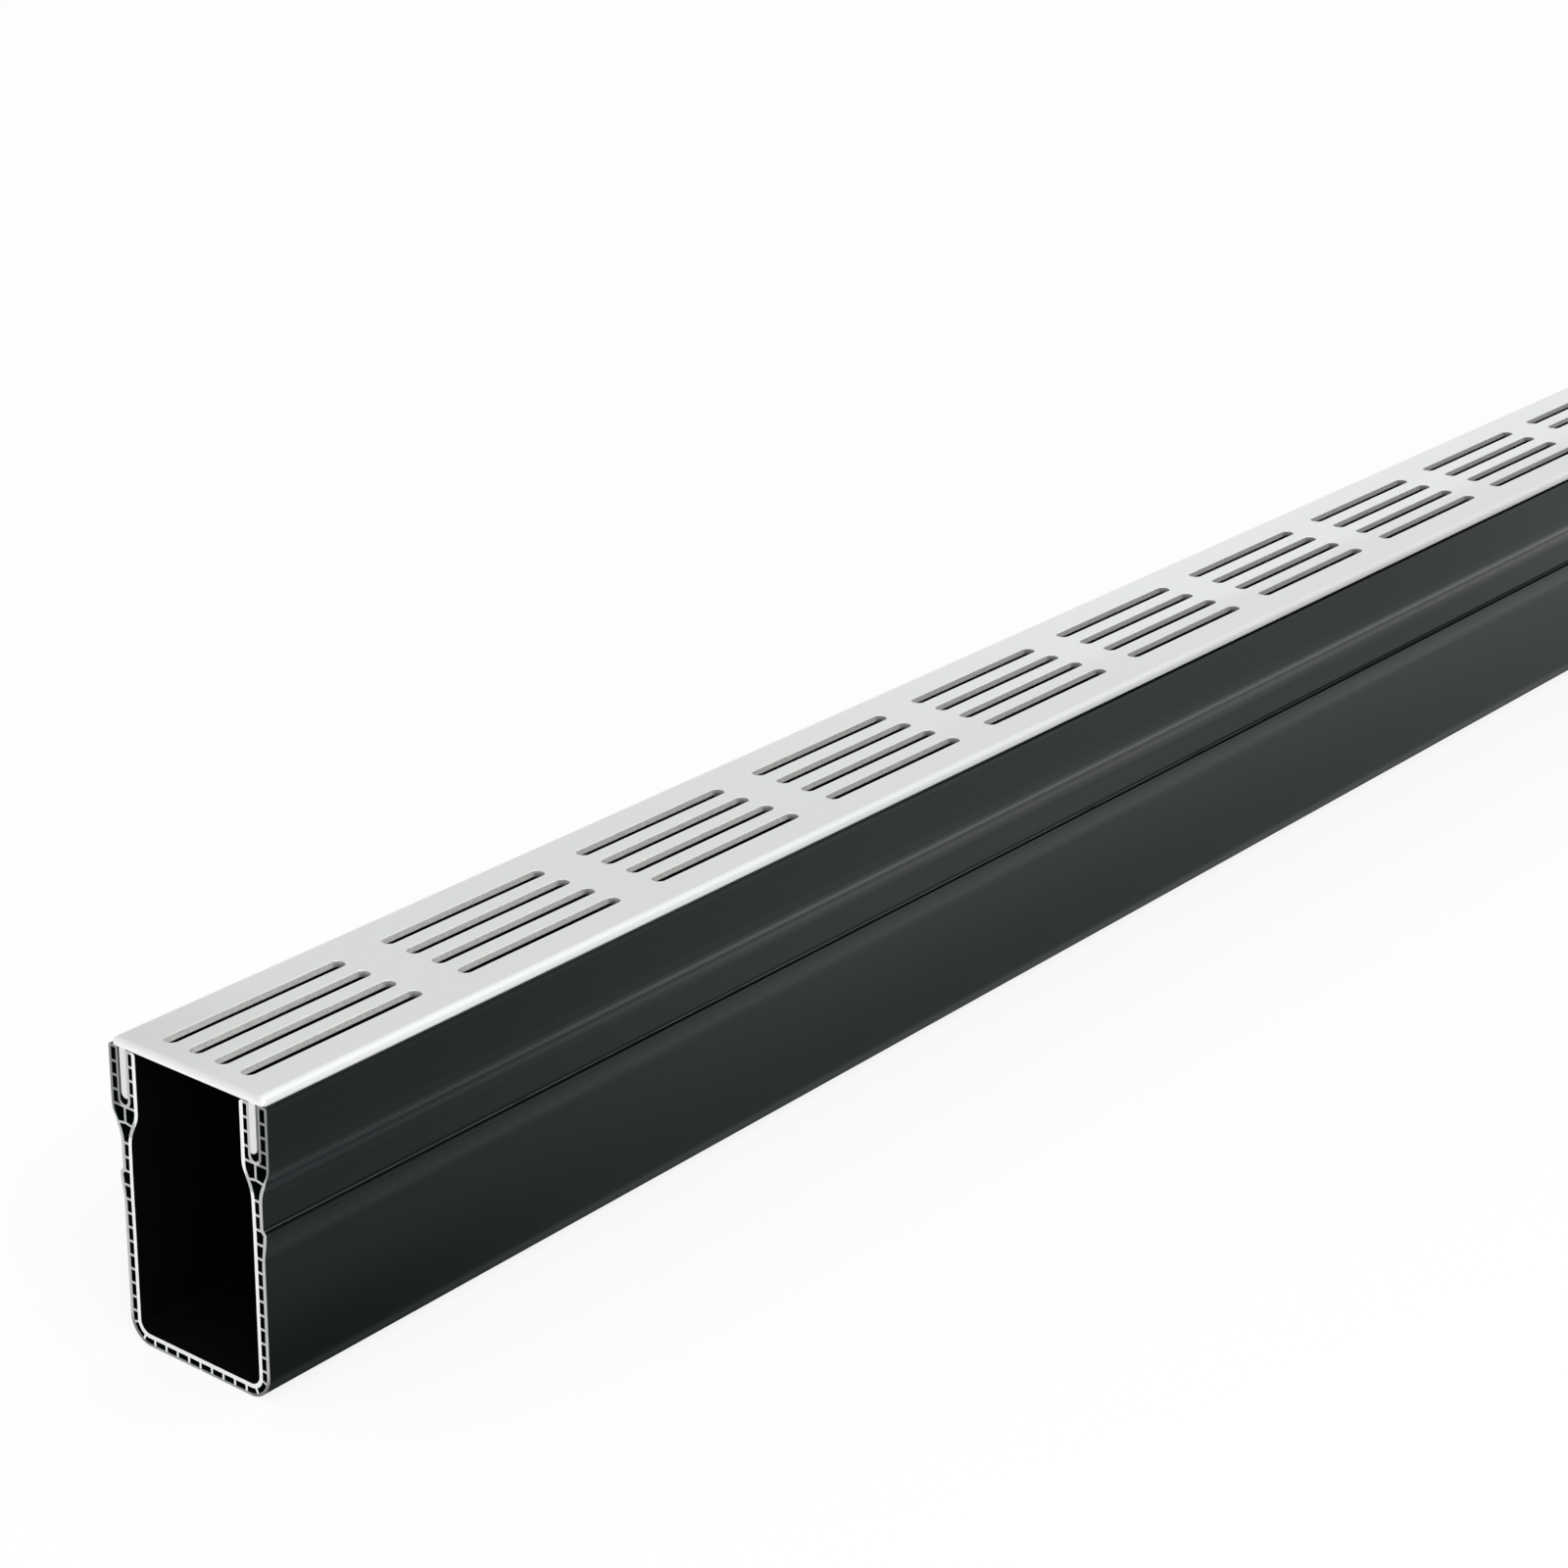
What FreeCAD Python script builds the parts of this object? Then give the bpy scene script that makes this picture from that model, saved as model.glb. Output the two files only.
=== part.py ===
import FreeCAD, Part
import math
import os
from FreeCAD import Vector

# Linear channel drain, one metre long: a trough extruded as a hollow twin wall, and a slotted
# grating whose two legs drop into a groove in the head of each side wall.
# Millimetres. X runs along the channel, Y across it, Z up. The origin is under the middle of the
# base. The section is drawn for the +Y side, as (y, z) corners, and mirrored to the other side.

# Overall sizes
channel_length = 1000.0
channel_height = 77.7        # base to the top of the outer limbs, where the grating seats
inside_width = 40.3          # between the side walls, below their heads

# Walls of the trough: two skins held apart by ribs
wall_thickness = 3.4
floor_thickness = 3.25
wall_outer_skin = 0.9
wall_inner_skin = 1.0
floor_outer_skin = 0.75
floor_inner_skin = 1.25
rib_thickness = 0.6
rib_pitch = 3.72             # aimed at, and evened out over each stretch of wall
base_corner_radius = 6.7     # outside
floor_corner_radius = 3.0    # inside
corner_rib_angles = (18.0, 65.0)  # below the horizontal, fanned about the base corner
first_wall_rib_height = 8.1
centre_mark_depth = 0.4      # V line along the middle of the underside
centre_mark_width = 1.1

# Ledge along the outside of each wall, below the neck
neck_length = 8.8            # ledge up to where the head starts to flare
ledge_reach = 0.85           # beyond the wall below
ledge_slope_height = 1.15
ledge_taper_height = 7.3     # the wall below thins back over this
ledge_edge_radius = 0.25

# Neck above the ledge, and the forked head that holds the grating
neck_thickness = 3.4
neck_inset = 0.15            # the neck stands this far in from the wall below
neck_skin = 0.95
head_width = 8.85
head_depth = 17.1            # top of the outer limb down to where the head starts to taper
head_taper_height = 5.9
head_bulge_radius = 5.0
head_neck_radius = 9.0
limb_outer_skin = 0.75
limb_inner_skin = 1.1
limb_top_skin = 0.65
limb_corner_radius = 0.55
limb_groove_radius = 0.3     # outer limb, where a leg is led into the groove
inner_limb_drop = 0.25       # the inner limb stops this far under the grating plate
inner_limb_corner_radius = 0.9
groove_width = 2.65
groove_depth = 14.8
groove_skin = 0.75
limb_rib_drops = (4.3, 7.9, 11.6, 15.3)  # below the top of the outer limb, middle of each rib
fan_node_drop = 19.5         # where the rib under the groove meets the two fanned ribs
fan_rib_fall = 0.8
neck_cell_drop = 24.9        # rib that closes the tapering cell under the fan

# Grating
plate_thickness = 2.3
plate_width = 50.4
plate_edge_strip = 0.2       # upright strip under the rounded long edge
leg_thickness = 2.05
leg_clearance = 0.05         # between a leg and the inner limb
leg_tip_gap = 1.8            # under the leg, to the bottom of the groove
leg_tip_radius = 1.5         # outer corner, which leads the leg into the groove
leg_heel_radius = 0.4
slot_groups = 14
slot_rows = 4
slot_row_pitch = 8.51
slot_width = 3.75
slot_length = 57.4
first_slot_start = 5.9       # from the -X end of the grating

# Places that follow from the sizes above
half_length = channel_length / 2
wall_inner_y = inside_width / 2
wall_outer_y = wall_inner_y + wall_thickness
neck_outer_y = wall_outer_y - neck_inset
neck_inner_y = neck_outer_y - neck_thickness
head_axis_y = (neck_outer_y + neck_inner_y) / 2
head_outer_y = head_axis_y + head_width / 2
head_inner_y = head_axis_y - head_width / 2
groove_outer_y = head_axis_y + groove_width / 2
groove_inner_y = head_axis_y - groove_width / 2
groove_bottom_z = channel_height - groove_depth
inner_limb_top_z = channel_height - inner_limb_drop
head_taper_top_z = channel_height - head_depth
head_taper_bottom_z = head_taper_top_z - head_taper_height
ledge_outer_y = wall_outer_y + ledge_reach
ledge_top_z = head_taper_bottom_z - neck_length
ledge_z = ledge_top_z - ledge_slope_height
ledge_bottom_z = ledge_z - ledge_taper_height
plate_edge_radius = plate_thickness - plate_edge_strip


def section_wire(corners, x):
    """Closed wire at one x, through (y, z, radius) corners, each rounded by its own radius."""
    starts = []
    ends = []
    arcs = []
    for index, (y, z, radius) in enumerate(corners):
        before = corners[index - 1]
        after = corners[(index + 1) % len(corners)]
        corner = Vector(x, y, z)
        to_before = (Vector(x, before[0], before[1]) - corner).normalize()
        to_after = (Vector(x, after[0], after[1]) - corner).normalize()
        if radius == 0:
            starts.append(corner)
            ends.append(corner)
            arcs.append(None)
            continue
        half_angle = to_before.getAngle(to_after) / 2
        reach = radius / math.tan(half_angle)
        bisector = (to_before + to_after).normalize()
        middle = corner + bisector * (radius / math.sin(half_angle) - radius)
        start = corner + to_before * reach
        end = corner + to_after * reach
        starts.append(start)
        ends.append(end)
        arcs.append(Part.Arc(start, middle, end).toShape())
    edges = []
    for index, arc in enumerate(arcs):
        if arc:
            edges.append(arc)
        start = ends[index]
        end = starts[(index + 1) % len(corners)]
        if start.distanceToPoint(end) > 1e-6:
            edges.append(Part.LineSegment(start, end).toShape())
    return Part.Wire(edges)


def both_sides(corners):
    """Corners of the +Y side, then the same corners mirrored, in one closed round."""
    mirrored = [(-y, z, radius) for y, z, radius in reversed(corners) if y != 0]
    return corners + mirrored


def strip(start, end, thickness, x):
    """Flat rib between two (y, z) points."""
    along = Vector(0, end[0] - start[0], end[1] - start[1]).normalize()
    across = Vector(0, -along.z, along.y) * (thickness / 2)
    first = Vector(x, start[0], start[1])
    last = Vector(x, end[0], end[1])
    points = [first + across, last + across, last - across, first - across]
    return Part.Face(Part.makePolygon(points + points[:1]))


def even_steps(first, last, pitch):
    """Places from first to last, both included, evenly spaced at about the pitch."""
    count = max(1, round((last - first) / pitch))
    return [first + (last - first) * step / count for step in range(count + 1)]


def body_outline():
    """Outside and inside faces of the whole trough."""
    return both_sides([
        (0, centre_mark_depth, 0),
        (centre_mark_width / 2, 0, 0),
        (wall_outer_y, 0, base_corner_radius),
        (wall_outer_y, ledge_bottom_z, 0),
        (ledge_outer_y, ledge_z, ledge_edge_radius),
        (neck_outer_y, ledge_top_z, ledge_edge_radius),
        (neck_outer_y, head_taper_bottom_z, head_neck_radius),
        (head_outer_y, head_taper_top_z, head_bulge_radius),
        (head_outer_y, channel_height, limb_corner_radius),
        (groove_outer_y, channel_height, limb_groove_radius),
        (groove_outer_y, groove_bottom_z, groove_width / 2),
        (groove_inner_y, groove_bottom_z, groove_width / 2),
        (groove_inner_y, inner_limb_top_z, 0),
        (head_inner_y, inner_limb_top_z, inner_limb_corner_radius),
        (head_inner_y, head_taper_top_z, head_bulge_radius),
        (neck_inner_y, head_taper_bottom_z, head_neck_radius),
        (wall_inner_y, ledge_z, 0),
        (wall_inner_y, floor_thickness, floor_corner_radius),
        (0, floor_thickness, 0),
    ])


def hollow_outline():
    """The space between the skins, before the ribs divide it."""
    groove_round = groove_width / 2 + groove_skin
    return both_sides([
        (0, floor_outer_skin, 0),
        (wall_outer_y - wall_outer_skin, floor_outer_skin, base_corner_radius - wall_outer_skin),
        (wall_outer_y - wall_outer_skin, ledge_bottom_z - wall_outer_skin, 0),
        (ledge_outer_y - wall_outer_skin, ledge_z - wall_outer_skin / 2, 0),
        (neck_outer_y - neck_skin, ledge_top_z - wall_outer_skin / 2, 0),
        (neck_outer_y - neck_skin, head_taper_bottom_z, head_neck_radius + neck_skin),
        (head_outer_y - limb_outer_skin, head_taper_top_z, head_bulge_radius - limb_outer_skin),
        (head_outer_y - limb_outer_skin, channel_height - limb_top_skin, 0),
        (groove_outer_y + groove_skin, channel_height - limb_top_skin, 0),
        (groove_outer_y + groove_skin, groove_bottom_z - groove_skin, groove_round),
        (groove_inner_y - groove_skin, groove_bottom_z - groove_skin, groove_round),
        (groove_inner_y - groove_skin, inner_limb_top_z - limb_top_skin, 0),
        (head_inner_y + limb_inner_skin, inner_limb_top_z - limb_top_skin, 0),
        (head_inner_y + limb_inner_skin, head_taper_top_z, head_bulge_radius - limb_inner_skin),
        (neck_inner_y + wall_inner_skin, head_taper_bottom_z, head_neck_radius + wall_inner_skin),
        (wall_inner_y + wall_inner_skin, ledge_z, 0),
        (wall_inner_y + wall_inner_skin, floor_thickness - floor_inner_skin,
         floor_corner_radius + wall_inner_skin),
        (0, floor_thickness - floor_inner_skin, 0),
    ])


def ribs(x):
    """Every rib of the section, on both sides, as flat strips that run into the skins."""
    half = []
    # Level ribs of the two limbs, which cross the bottom of the groove last.
    for drop in limb_rib_drops:
        z = channel_height - drop
        if z > groove_bottom_z:
            half.append(((head_inner_y, z), (groove_inner_y, z)))
            half.append(((groove_outer_y, z), (head_outer_y, z)))
        else:
            half.append(((head_inner_y, z), (head_outer_y, z)))
    # Rib under the groove, and the two that fan from its foot to the tapering skins.
    node_z = channel_height - fan_node_drop
    half.append(((head_axis_y, groove_bottom_z), (head_axis_y, node_z)))
    fan_reach = head_width / 2
    half.append(((head_axis_y, node_z), (head_axis_y + fan_reach, node_z - fan_rib_fall)))
    half.append(((head_axis_y, node_z), (head_axis_y - fan_reach, node_z - fan_rib_fall)))
    # Level ribs from the neck down to the base corner.
    neck_rib_z = channel_height - neck_cell_drop
    for z in even_steps(first_wall_rib_height, neck_rib_z, rib_pitch):
        half.append(((neck_inner_y, z), (ledge_outer_y - wall_outer_skin / 2, z)))
    # Two ribs fanned round the base corner.
    pivot_y = wall_outer_y - base_corner_radius
    for angle in corner_rib_angles:
        sine = math.sin(math.radians(angle))
        cosine = math.cos(math.radians(angle))
        near = floor_corner_radius * 0.8
        far = base_corner_radius - floor_outer_skin / 2
        half.append(((pivot_y + near * cosine, base_corner_radius - near * sine),
                     (pivot_y + far * cosine, base_corner_radius - far * sine)))
    # Upright ribs of the floor, one of them over the centre mark.
    last_floor_rib_y = wall_inner_y - floor_corner_radius - wall_inner_skin - rib_thickness
    for y in even_steps(0, last_floor_rib_y, rib_pitch):
        half.append(((y, floor_outer_skin / 2), (y, floor_thickness - floor_inner_skin / 2)))
    strips = []
    for start, end in half:
        strips.append(strip(start, end, rib_thickness, x))
        if start[0] or end[0]:
            strips.append(strip((-start[0], start[1]), (-end[0], end[1]), rib_thickness, x))
    return strips


def make_channel_body():
    """Twin-walled trough: the outline less the cells between skins and ribs, extruded."""
    x = -half_length
    solid_section = Part.Face(section_wire(body_outline(), x))
    hollow = Part.Face(section_wire(hollow_outline(), x))
    cells = hollow.cut(ribs(x))
    section = solid_section.cut(cells.Faces)
    return section.Faces[0].extrude(Vector(channel_length, 0, 0))


def make_grating():
    """Slotted plate with a leg under each side, cut from one extruded bar."""
    leg_inner_y = groove_inner_y + leg_clearance
    leg_outer_y = leg_inner_y + leg_thickness
    leg_tip_z = groove_bottom_z + leg_tip_gap
    top_z = channel_height + plate_thickness
    profile = both_sides([
        (leg_inner_y, channel_height, 0),
        (leg_inner_y, leg_tip_z, leg_heel_radius),
        (leg_outer_y, leg_tip_z, leg_tip_radius),
        (leg_outer_y, channel_height, 0),
        (plate_width / 2, channel_height, 0),
        (plate_width / 2, top_z, plate_edge_radius),
    ])
    bar = Part.Face(section_wire(profile, -half_length)).extrude(Vector(channel_length, 0, 0))
    group_pitch = channel_length / slot_groups
    first_row_y = -slot_row_pitch * (slot_rows - 1) / 2
    slots = []
    for group in range(slot_groups):
        start_x = -half_length + first_slot_start + group * group_pitch
        for row in range(slot_rows):
            slots.append(slot(start_x, first_row_y + row * slot_row_pitch))
    return bar.cut(Part.makeCompound(slots))


def slot(start_x, y):
    """Cutter for one slot with round ends, through the plate."""
    radius = slot_width / 2
    left = start_x + radius
    right = start_x + slot_length - radius
    z = channel_height - plate_thickness
    edges = [
        Part.LineSegment(Vector(left, y - radius, z), Vector(right, y - radius, z)).toShape(),
        Part.Arc(Vector(right, y - radius, z), Vector(right + radius, y, z),
                 Vector(right, y + radius, z)).toShape(),
        Part.LineSegment(Vector(right, y + radius, z), Vector(left, y + radius, z)).toShape(),
        Part.Arc(Vector(left, y + radius, z), Vector(left - radius, y, z),
                 Vector(left, y - radius, z)).toShape(),
    ]
    return Part.Face(Part.Wire(edges)).extrude(Vector(0, 0, 3 * plate_thickness))


def save(name, shape):
    """One STEP file for one piece."""
    shape.exportStep("parts/" + name + ".step")
    box = shape.BoundBox
    print(name, "solids", len(shape.Solids), "valid", shape.isValid(),
          "volume", round(shape.Volume), "size",
          round(box.XLength, 2), round(box.YLength, 2), round(box.ZLength, 2))


os.makedirs("parts", exist_ok=True)
save("channel_body", make_channel_body())
save("grating", make_grating())
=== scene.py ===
import math
import bmesh
import bpy
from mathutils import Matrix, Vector


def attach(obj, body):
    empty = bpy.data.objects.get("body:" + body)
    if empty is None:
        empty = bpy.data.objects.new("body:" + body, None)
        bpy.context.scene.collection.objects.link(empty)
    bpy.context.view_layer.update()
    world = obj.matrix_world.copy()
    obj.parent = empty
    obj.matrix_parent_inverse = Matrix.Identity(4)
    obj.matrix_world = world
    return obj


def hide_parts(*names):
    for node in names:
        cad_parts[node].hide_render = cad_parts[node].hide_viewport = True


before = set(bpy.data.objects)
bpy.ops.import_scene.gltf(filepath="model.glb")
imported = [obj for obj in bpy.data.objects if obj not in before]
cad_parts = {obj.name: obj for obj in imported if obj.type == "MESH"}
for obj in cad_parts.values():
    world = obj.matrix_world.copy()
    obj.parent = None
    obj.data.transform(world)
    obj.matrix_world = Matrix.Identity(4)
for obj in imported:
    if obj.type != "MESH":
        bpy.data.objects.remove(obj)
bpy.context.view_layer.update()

bpy.ops.object.select_all(action="DESELECT")
print("frame loaded:", sorted(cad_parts))

mm = 0.001
near = 0.01 * mm  # points this close are at the same place
weld = 0.001 * mm
bisectSnap = 1e-7


# Materials: sums on a Reading add the nodes that work them out

class Reading:
    def __init__(self, finish, socket):
        self.finish = finish
        self.socket = socket

    def maths(self, operation, *others):
        return self.finish.node("Math", {"operation": operation}, dict(enumerate((self, *others))))

    def __add__(self, other):
        return self.maths("ADD", other)

    def __radd__(self, other):
        return self + other

    def __sub__(self, other):
        return self.maths("SUBTRACT", other)

    def __rsub__(self, other):
        return self * -1.0 + other

    def __mul__(self, other):
        return self.maths("MULTIPLY", other)

    def __rmul__(self, other):
        return self * other

    def __truediv__(self, other):
        return self.maths("DIVIDE", other)

    def __rtruediv__(self, other):
        return self ** -1.0 * other

    def __pow__(self, other):
        return self.maths("POWER", other)

    def __gt__(self, other):
        return self.maths("GREATER_THAN", other)

    def __lt__(self, other):
        return self.maths("LESS_THAN", other)

    def __abs__(self):
        return self.maths("ABSOLUTE")

    def larger(self, other):
        return self.maths("MAXIMUM", other)

    def smaller(self, other):
        return self.maths("MINIMUM", other)

    def ramp(self, low, high, atLow=0.0, atHigh=1.0):
        # smooth step from atLow to atHigh while this goes from low to high
        return self.finish.node("MapRange", {"interpolation_type": "SMOOTHSTEP"},
                                {0: self, 1: low, 2: high, 3: atLow, 4: atHigh})

    def hump(self, middle, width):
        # 1 at the middle, falling to 0 at half the width either side
        return abs(self - middle).ramp(0.0, width / 2, 1.0, 0.0)


class Finish:
    def __init__(self, owner, output="OutputMaterial"):
        owner.use_nodes = True
        self.tree = owner.node_tree
        self.tree.nodes.clear()
        self.output = self.tree.nodes.new("ShaderNode" + output)

    def node(self, kind, settings=None, inputs=None, output=0):
        made = self.tree.nodes.new("ShaderNode" + kind)
        for name, value in (settings or {}).items():
            setattr(made, name, value)
        for name, value in (inputs or {}).items():
            self.plug(made.inputs[name], value)
        return Reading(self, made.outputs[output])

    def plug(self, socket, value):
        if isinstance(value, Reading):
            self.tree.links.new(value.socket, socket)
        elif socket.type == "RGBA" and len(value) == 3:
            socket.default_value = (*value, 1.0)
        else:
            socket.default_value = value

    def readPlace(self):
        # where a point lies on the piece: along the drain, to the side and up
        self.place = self.node("TexCoord", output="Object")
        return [self.node("SeparateXYZ", inputs={0: self.place}, output=axis) for axis in range(3)]

    def blend(self, amount, first, second):
        # colour that goes from first to second
        return self.node("Mix", {"data_type": "RGBA"}, {0: amount, 6: first, 7: second}, output=2)

    def painted(self, colour, *coats):
        # each coat is a mask and the colour that it lays over what is there
        for mask, coat in coats:
            colour = self.blend(mask, colour, coat)
        return colour

    def tone(self, colour, level):
        # the colour, lighter or darker by the level
        return self.node("VectorMath", {"operation": "SCALE"}, {0: colour, "Scale": level})

    def stretched(self, lengthwise, across, scale, detail=2.0, roughness=0.5):
        # noise drawn out along the extrusion: higher numbers are finer
        vector = self.node("Mapping", {"vector_type": "POINT"},
                           {0: self.place, 3: (lengthwise, across, across)})
        return self.node("TexNoise", inputs={"Vector": vector, "Scale": scale, "Detail": detail,
                                             "Roughness": roughness})

    def bump(self, height, distance):
        return self.node("Bump", inputs={"Height": height, "Distance": distance, "Strength": 1.0})

    def principled(self, **sockets):
        names = {key.replace("_", " ").title().replace("Ior", "IOR"): value
                 for key, value in sockets.items()}
        return self.node("BsdfPrincipled", inputs=names)

    def seenRays(self):
        # 1 where the camera looks straight at it, or sees it in metal or through glass
        camera, gloss, glass = (self.node("LightPath", output=ray) for ray in (
            "Is Camera Ray", "Is Glossy Ray", "Is Transmission Ray"))
        return camera.larger(gloss).larger(glass)

    def shown(self, shader):
        self.tree.links.new(shader.socket, self.output.inputs["Surface"])


# Modelling helpers

def selectOnly(*pieces):
    bpy.ops.object.select_all(action="DESELECT")
    for piece in pieces:
        piece.select_set(True)
    bpy.context.view_layer.objects.active = pieces[0]


def editAll(piece):
    selectOnly(piece)
    bpy.ops.object.mode_set(mode="EDIT")
    bpy.ops.mesh.select_all(action="SELECT")


def joined(pieces):
    selectOnly(*pieces)
    bpy.ops.object.join()
    return pieces[0]


def pick(piece, wanted, kind="FACE"):
    # in edit mode: selects only the parts of the mesh that wanted() takes
    mesh = bmesh.from_edit_mesh(piece.data)
    bpy.ops.mesh.select_all(action="DESELECT")
    bpy.context.tool_settings.mesh_select_mode = [kind == name for name in ("VERT", "EDGE", "FACE")]
    parts = {"VERT": mesh.verts, "EDGE": mesh.edges, "FACE": mesh.faces}[kind]
    for part in [part for part in parts if wanted(part)]:
        part.select_set(True)
    bmesh.update_edit_mesh(piece.data)


def pull(x=0.0, y=0.0, z=0.0):
    # in edit mode: extrudes what is selected, by millimetres
    run = (x * mm, y * mm, z * mm)
    bpy.ops.mesh.extrude_region_move(TRANSFORM_OT_translate={"value": run})


def shift(x=0.0, y=0.0, z=0.0):
    bpy.ops.transform.translate(value=(x * mm, y * mm, z * mm))


def pullLengthwise(length):
    # in edit mode: the whole outline becomes a closed extrusion
    bpy.ops.mesh.select_all(action="SELECT")
    pull(x=length)
    bpy.ops.mesh.select_all(action="SELECT")
    bpy.ops.mesh.normals_make_consistent(inside=False)


def bothSides(corners):
    return corners + [(-y, z, radius) for y, z, radius in reversed(corners) if y]


def cornerReach(corners, index):
    # how far the rounding of a corner reaches along its two edges, and how far it turns
    y, z, radius = corners[index]
    before = corners[index - 1]
    after = corners[(index + 1) % len(corners)]
    back = Vector((before[0] - y, before[1] - z))
    ahead = Vector((after[0] - y, after[1] - z))
    turn = math.pi - back.angle(ahead)
    return radius * math.tan(turn / 2), math.degrees(turn)


def sketch(name, corners, x, segmentTurn):
    # a flat outline across the extrusion, drawn corner by corner, then rounded
    firstY, firstZ, _ = corners[0]
    bpy.context.tool_settings.mesh_select_mode = (True, False, False)
    bpy.ops.mesh.primitive_plane_add(size=mm, location=(x * mm, firstY * mm, firstZ * mm))
    piece = bpy.context.object
    piece.name = name
    bpy.ops.object.transform_apply(location=True, rotation=False, scale=False)
    bpy.ops.object.mode_set(mode="EDIT")
    bpy.ops.mesh.select_all(action="SELECT")
    bpy.ops.mesh.merge(type="CENTER")
    for start, end in zip(corners, corners[1:]):
        pull(y=end[0] - start[0], z=end[1] - start[1])
    bpy.ops.mesh.select_all(action="SELECT")
    bpy.ops.mesh.edge_face_add()
    for index, (y, z, radius) in enumerate(corners):
        if radius:
            reach, turn = cornerReach(corners, index)
            place = Vector((x * mm, y * mm, z * mm))
            pick(piece, lambda vert: (vert.co - place).length < near, "VERT")
            bpy.ops.mesh.bevel(offset=reach * mm, segments=max(2, round(turn / segmentTurn)),
                               affect="VERTICES", profile=0.5)
    bpy.ops.object.mode_set(mode="OBJECT")
    return piece


def finished(piece, smoothAngle, material, node):
    # shading that keeps the flats flat, then the piece's place in the frame
    selectOnly(piece)
    bpy.ops.object.shade_smooth_by_angle(angle=math.radians(smoothAngle))
    weighted = piece.modifiers.new("flatNormals", "WEIGHTED_NORMAL")
    weighted.keep_sharp = True
    weighted.weight = 100
    bpy.ops.object.modifier_apply(modifier=weighted.name)
    piece.data.materials.clear()
    piece.data.materials.append(material)
    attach(piece, "root")
    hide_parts(node)
    print("made", piece.name, len(piece.data.polygons), "faces")


# Extruded plastic of the trough. A ramp is (from, to, value at the first, value at the second),
# from 0 to 1 where no values are given, and a hump is (middle, width). Names that end in Up
# are heights, in Across distances from the middle line, and in Along places along the drain

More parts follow.
